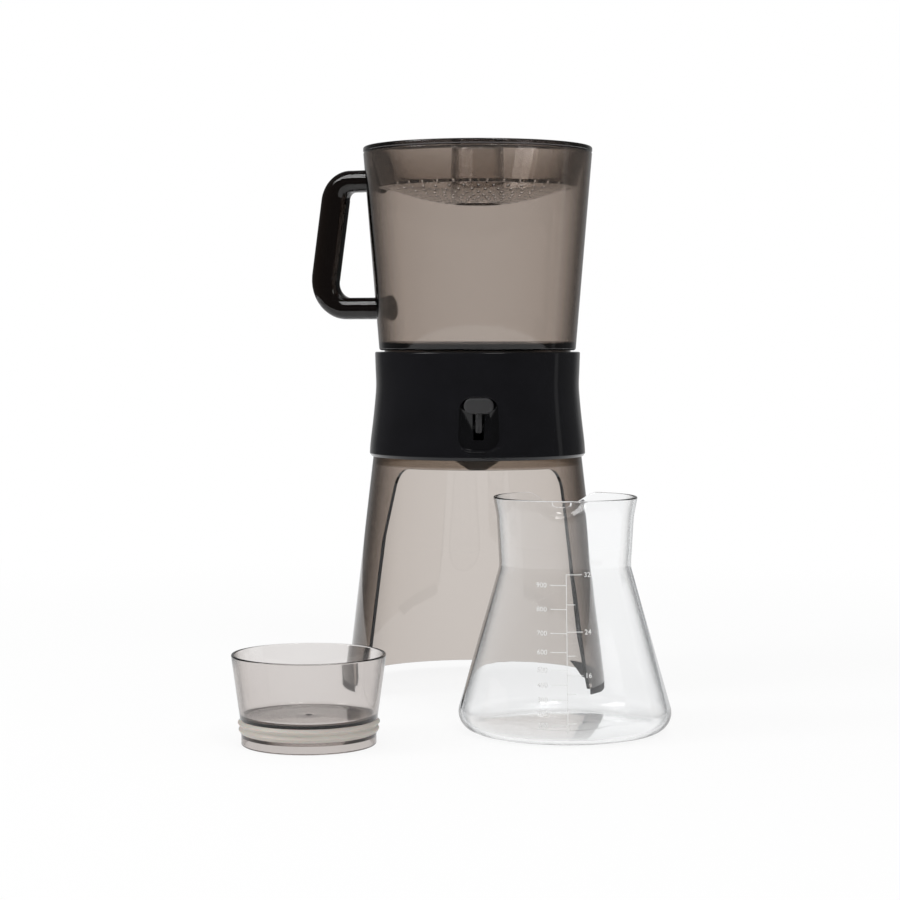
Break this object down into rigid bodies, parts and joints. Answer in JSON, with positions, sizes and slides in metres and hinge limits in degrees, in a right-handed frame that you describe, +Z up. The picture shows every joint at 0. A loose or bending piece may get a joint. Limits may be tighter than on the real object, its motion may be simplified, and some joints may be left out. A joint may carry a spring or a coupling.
{
  "type": "cold brew coffee maker",
  "caption": "Tall smoked-plastic brewing container with rain lid and side handle on an arched stand with a drain lever, with a conical glass carafe and a stopper cup in front.",
  "frame": {"origin": "middle of the whole footprint on the table, so between the tower and the loose pieces in front of it", "axes": "+Z up, -Y towards the front with the drain lever, +X to the viewer's right"},
  "size_m": [0.2767, 0.3704, 0.3854],
  "materials": {
    "smoked_plastic": "clear smoked gloss",
    "black_gloss": "gloss black",
    "black_satin": "satin black",
    "lever_grey": "matte dark grey",
    "steel": "bright stainless",
    "grey_silicone": "soft matte",
    "black_rubber": "dull black",
    "white_silicone": "milky silicone",
    "pale_smoke": "clear pale smoke gloss",
    "clear_glass": "clear borosilicate"
  },
  "bodies": {
    "stand": {"stand_skirt": "smoked_plastic", "stand_feet": "black_rubber", "collar_shell": "black_gloss", "seat_tray": "black_satin", "drain_funnel": "black_satin", "under_cover": "black_satin", "lever_bezel": "black_gloss", "lever_pin": "steel", "tray_screws": "steel", "funnel_screws": "steel", "cover_screws": "steel", "bezel_screws": "steel"},
    "lever": {"lever_arm": "lever_grey", "lever_pad": "lever_grey"},
    "lifter": {"valve_lifter": "black_satin"},
    "container": {"container_wall": "smoked_plastic", "container_base": "smoked_plastic", "container_handle": "smoked_plastic", "valve_guide": "black_satin", "valve_spring": "steel"},
    "valve": {"valve_plunger": "black_satin", "valve_clip": "steel", "valve_seal": "grey_silicone"},
    "filter": {"filter_gasket": "grey_silicone", "filter_frame": "steel", "filter_mesh": "steel"},
    "lid": {"lid_rim": "smoked_plastic", "lid_rain_plate": "smoked_plastic", "lid_knob": "smoked_plastic"},
    "carafe": {"carafe_glass": "clear_glass"},
    "stopper": {"stopper_cup": "pale_smoke", "stopper_seal": "white_silicone"}
  },
  "joints": [
    {"name": "lever_turn", "type": "hinge", "parent": "stand", "child": "lever", "pos_m": [0.0165, 0.0346, 0.1894], "axis": [1, 0, 0], "range_deg": [0, 20]},
    {"name": "lifter_slide", "type": "slide", "parent": "stand", "child": "lifter", "axis": [0, 0, 1], "range_m": [0, 0.0035]},
    {"name": "container_lift", "type": "slide", "parent": "stand", "child": "container", "axis": [0, 0, 1], "range_m": [0, 0.12]},
    {"name": "valve_slide", "type": "slide", "parent": "container", "child": "valve", "axis": [0, 0, 1], "range_m": [0, 0.0035], "stiffness_N_per_m": 5, "springref_m": -0.04, "deforming": ["valve_spring"]},
    {"name": "filter_lift", "type": "slide", "parent": "container", "child": "filter", "axis": [0, 0, 1], "range_m": [0, 0.095]},
    {"name": "lid_lift", "type": "slide", "parent": "container", "child": "lid", "axis": [0, 0, 1], "range_m": [0, 0.08]},
    {"name": "carafe_lift", "type": "slide", "parent": "stand", "child": "carafe", "axis": [0, 0, 1], "range_m": [0, 0.16]},
    {"name": "stopper_lift", "type": "slide", "parent": "stand", "child": "stopper", "axis": [0, 0, 1], "range_m": [0, 0.08]}
  ],
  "couplings": [
    {"joint": "lifter_slide", "follows": "lever_turn", "m_per_rad": 0.01},
    {"joint": "valve_slide", "follows": "lever_turn", "m_per_rad": 0.01}
  ]
}
